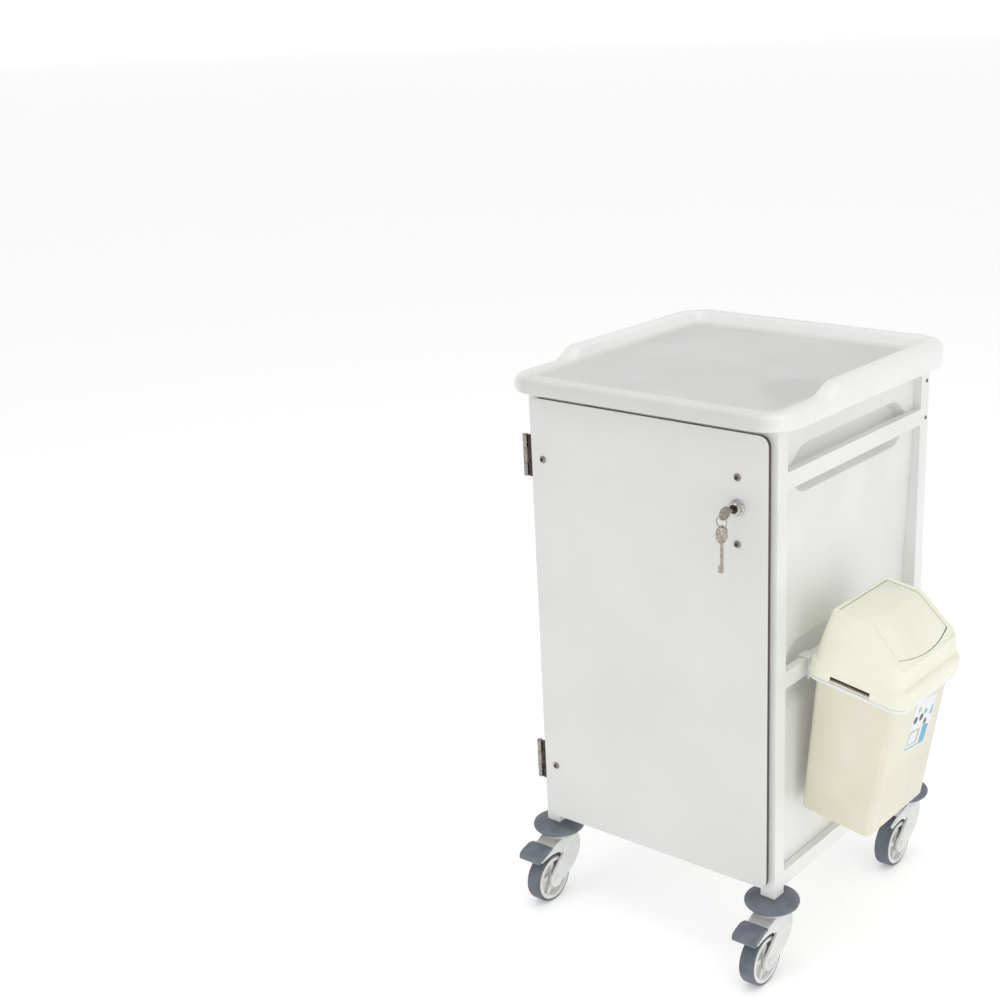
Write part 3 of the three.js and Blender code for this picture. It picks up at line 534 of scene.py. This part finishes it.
def finish_bolt(name):
    """Domed bolt with a black hexagon as painted shade in its socket."""
    node = "door_bolt_" + name
    finished(node, BOLT_STEEL, 0.25, 2, bend=60)
    low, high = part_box(node)
    face = Vector(((low.x + high.x) / 2, low.y, (low.z + high.z) / 2))
    turned(node + "_socket", BOLT_SOCKET, face, (0, 1, 0), SOCKET_SHADE_BLACK, "door", SOCKET_SIDES)


def finish_door():
    """Door, hinges, bolts, lock and keys."""
    finished("door_panel", DOOR_LAMINATE, 1.3, 3, bend=60, flats=True)
    for end in ("upper", "lower"):
        finish_hinge(end)
    for bolt in ("hinge_upper", "hinge_lower", "lock_upper", "lock_lower"):
        finish_bolt(bolt)
    finished("lock_case", STEEL, 0.8, 2, bend=60)
    finished("lock_barrel", LOCK_CHROME, 0.3, 2)
    finished("lock_plug", DARK_STEEL, 0.3, 2, bend=60)
    finished("lock_cam", STEEL, 0.3, 2)
    finished("key", KEY_STEEL, 0.45, 2, bend=50)
    finished("spare_key", KEY_STEEL, 0.35, 2, bend=50)
    finished("key_ring", KEY_STEEL, crease=80)


# Profiles of (radius, distance along the axis), in millimetres.
BUFFER_PROFILE = [(8.4, -9), (29, -9), (34.5, -8.4), (38.6, -7), (41, -4.6), (41.9, -2), (41.6, 0.6),
                  (40.2, 2.8), (37.4, 4.6), (33, 6), (27, 7.4), (20, 8.6), (14, 9), (8.4, 9)]
TYRE_HALF = [(40.6, 0), (40.6, 9), (40.3, 10.6), (39.6, 11.8), (38.5, 12.4), (36.7, 12.4)]
HUB_HALF = [(36.2, 0), (36.2, 12.3), (35.6, 12.9), (30.6, 12.9), (29.8, 12.2), (28.4, 6), (27.4, 5.2),
            (11, 5.2), (10, 6), (9.4, 12.6), (8.6, 13.4), (4.4, 13.4)]
WHEEL_SIDES = 96
SPOKES = 5
SPOKE_START = 0.3  # of the angle between two spokes
SPOKE_OUTLINE = [(-4.5, 9), (4.5, 9), (3, 29.4), (-3, 29.4)]  # (across, out from the axle)
SPOKE_HALF_WIDTH = 10.4


def both_sides(half):
    """Closed profile from one side of it, mirrored to the other side."""
    return half + [(r, -d) for r, d in reversed(half) if d > 0]


def finish_wheel(place):
    """Smooth tyre and a recessed hub with spokes."""
    body = "wheel_" + place
    centre = middle_of("tyre_" + place)
    axis = (1, 0, 0)
    tyre = turned("tyre_round_" + place, both_sides(TYRE_HALF), centre, axis, TYRE_RUBBER, body, WHEEL_SIDES)
    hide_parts("tyre_" + place)
    hub = turned("hub_round_" + place, both_sides(HUB_HALF), centre, axis, CASTOR_PLASTIC, body, WHEEL_SIDES)
    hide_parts("hub_" + place)
    for i in range(SPOKES):
        angle = 2 * math.pi * (i + SPOKE_START) / SPOKES
        out = Vector((0, math.cos(angle), math.sin(angle)))
        side = Vector((0, -math.sin(angle), math.cos(angle)))

        def corner(across, along, width, out=out, side=side):
            return centre + (out * along + side * across + Vector((width, 0, 0))) * MM

        prism("spoke_%d_%s" % (i + 1, place), SPOKE_OUTLINE, -SPOKE_HALF_WIDTH, SPOKE_HALF_WIDTH, corner,
              CASTOR_PLASTIC, body)


def finish_castors():
    """Buffer, fork, axle and wheel of each castor, and a brake pedal on each of the front ones."""
    for place in PLACES:
        buffer = turned("buffer_round_" + place, BUFFER_PROFILE, middle_of("buffer_" + place), (0, 0, 1),
                        BUFFER_RUBBER, "cabinet", WHEEL_SIDES)
        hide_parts("buffer_" + place)
        finished("fork_" + place, CASTOR_PLASTIC, 1.4, 3, bend=35)
        finished("axle_" + place, CASTOR_PLASTIC, 0.4, 2)
        finish_wheel(place)
    for place in FRONT_PLACES:
        finished("pedal_" + place, BUFFER_RUBBER, 1.8, 3)


BIN_TILT = math.radians(9.3)
BIN_PLACE = Vector((302.5, 157.3, 464.2)) * MM + SHIFT  # middle of the bin's rim
BIN_FACE = 66.4  # millimetres from the middle of the bin to its outer face, at the top
BIN_TOP = 8  # above BIN_PLACE, along the tilted bin
BIN_DEPTH = 227.4
BIN_DRAW = 1.7  # how far the outer face leans in over that depth
LABEL_MIDDLE = (15.3, -60)  # along and up the bin's outer face, in millimetres
LABEL_TURN = math.radians(-9)
LABEL_SHEET = [(-34, -40), (34, -40), (34, 40), (-34, 40)]
SHEET_LAYER = (0.02, 0.25)  # from the bin's face, in millimetres
PRINT_LAYER = (0.2, 0.34)
UPPER_PRINT = 0.42  # outside of the one print that lies on another
LABEL_PRINT = [
    ("blue_block", LABEL_BLUE, [(11, -36), (31, -36), (31, -9), (11, -6)]),
    ("blue_line", LABEL_BLUE, [(-33, -38.5), (31, -38.5), (31, -36.4), (-33, -36.4)]),
    ("blue_tab", LABEL_BLUE, [(23, 8), (31, 8), (31, 22), (26, 22)]),
    ("grey_panel", LABEL_GREY, [(-30, -33), (4, -33), (4, -9), (-30, -9)]),
    ("white_panel", LABEL_WHITE, [(-27, -30), (-4, -30), (-4, -12), (-27, -12)]),
]
LABEL_DOTS = [  # name, material, middle and radius
    ("dark_1", LABEL_DARK, -22, 8, 6),
    ("dark_2", LABEL_DARK, -4, 9.5, 6),
    ("dark_3", LABEL_DARK, 14, -1, 5),
    ("blue_dot", LABEL_BLUE, 7, 17, 4.5),
    ("grey_dot", LABEL_GREY, -16, 24, 5),
]
DOT_SIDES = 24


def on_bin_face(along, up, out):
    """Place of a point given in millimetres along the bin's outer face, up it and out of it."""
    face = BIN_FACE - BIN_DRAW * (BIN_TOP - up) / BIN_DEPTH
    local = Vector((face + out, along, up)) * MM
    return BIN_PLACE + Matrix.Rotation(BIN_TILT, 3, "Y") @ local


def on_label(u, v, out):
    """Place of a point given in millimetres on the label, which is stuck on a little turned."""
    along = LABEL_MIDDLE[0] + u * math.cos(LABEL_TURN) - v * math.sin(LABEL_TURN)
    up = LABEL_MIDDLE[1] + u * math.sin(LABEL_TURN) + v * math.cos(LABEL_TURN)
    return on_bin_face(along, up, out)


def circle(u, v, radius):
    """Round outline about the point (u, v)."""
    angles = [2 * math.pi * i / DOT_SIDES for i in range(DOT_SIDES)]
    return [(u + radius * math.cos(angle), v + radius * math.sin(angle)) for angle in angles]


def bin_label():
    """Generic paper label without any words."""
    prism("label_sheet", LABEL_SHEET, *SHEET_LAYER, on_label, LABEL_WHITE, "bin")
    inside, outside = PRINT_LAYER
    for name, material, outline in LABEL_PRINT:
        height = UPPER_PRINT if name == "white_panel" else outside
        prism("label_" + name, outline, inside, height, on_label, material, "bin")
    for name, material, u, v, radius in LABEL_DOTS:
        prism("label_" + name, circle(u, v, radius), inside, outside, on_label, material, "bin")


def finish_bin():
    """Bin, hood, flap and label."""
    finished("bin_body", BIN_CREAM, 0.5, 2, bend=60)
    finished("bin_hood", LID_CREAM, 1.5, 3, bend=25)
    finished("bin_flap", LID_CREAM, 0.5, 2, bend=40)
    bin_label()


finish_cabinet()
finish_door()
finish_castors()
finish_bin()


# ---------------------------------------------------------------- floor, light
FLOOR_HALF = 40  # metres
WALL_RADIUS = 39
WALL_HEIGHT = 4  # a low wall far away hides the horizon
WALL_SIDES = 64
STUDIO_GLOW = 0.27
WORLD_LIGHT = 0.7


def studio_piece(name, bm, material):
    """Object made from a bmesh that is a part of the studio."""
    piece = linked_object(name, bm, material)


def make_studio():
    """A plain pale floor, wide enough to fill the view, with a low wall of the same white round it."""
    finish = Finish("studio_white", (250, 250, 250), 0.9)
    finish.shader.inputs["Specular IOR Level"].default_value = 0.1
    finish.shader.inputs["Emission Color"].default_value = (1, 1, 1, 1)
    finish.shader.inputs["Emission Strength"].default_value = STUDIO_GLOW
    bm = bmesh.new()
    bmesh.ops.create_grid(bm, x_segments=1, y_segments=1, size=FLOOR_HALF)
    studio_piece("floor", bm, finish.material)
    bm = bmesh.new()
    bmesh.ops.create_cone(bm, cap_ends=False, segments=WALL_SIDES, radius1=WALL_RADIUS, radius2=WALL_RADIUS,
                          depth=WALL_HEIGHT, matrix=Matrix.Translation((0, 0, WALL_HEIGHT / 2)))
    studio_piece("wall", bm, finish.material)


def softbox(name, place, target, size, power):
    """Square white area light at a place, aimed at a target; metres and watts."""
    data = bpy.data.lights.new(name, "AREA")
    data.shape = "SQUARE"
    data.size = size
    data.energy = power
    lamp = bpy.data.objects.new(name, data)
    aim = (Vector(target) - Vector(place)).to_track_quat("-Z", "Y")
    lamp.matrix_world = Matrix.Translation(place) @ aim.to_matrix().to_4x4()
    bpy.context.scene.collection.objects.link(lamp)


def make_light():
    """Even white surroundings and three large soft lights."""
    world = bpy.data.worlds.new("studio")
    bpy.context.scene.world = world
    world.use_nodes = True
    background = world.node_tree.nodes["Background"]
    background.inputs["Color"].default_value = (1, 1, 1, 1)
    background.inputs["Strength"].default_value = WORLD_LIGHT
    softbox("right_key", (3.2, -0.9, 1.5), (0, 0, 0.5), 2.2, 11)
    softbox("front_fill", (-1.4, -3.2, 1.6), (0, 0, 0.5), 2.4, 6)
    softbox("top_fill", (0.3, -0.3, 3.4), (0, 0, 0), 2.6, 25)


make_studio()
make_light()
bpy.context.scene.view_settings.view_transform = "Standard"
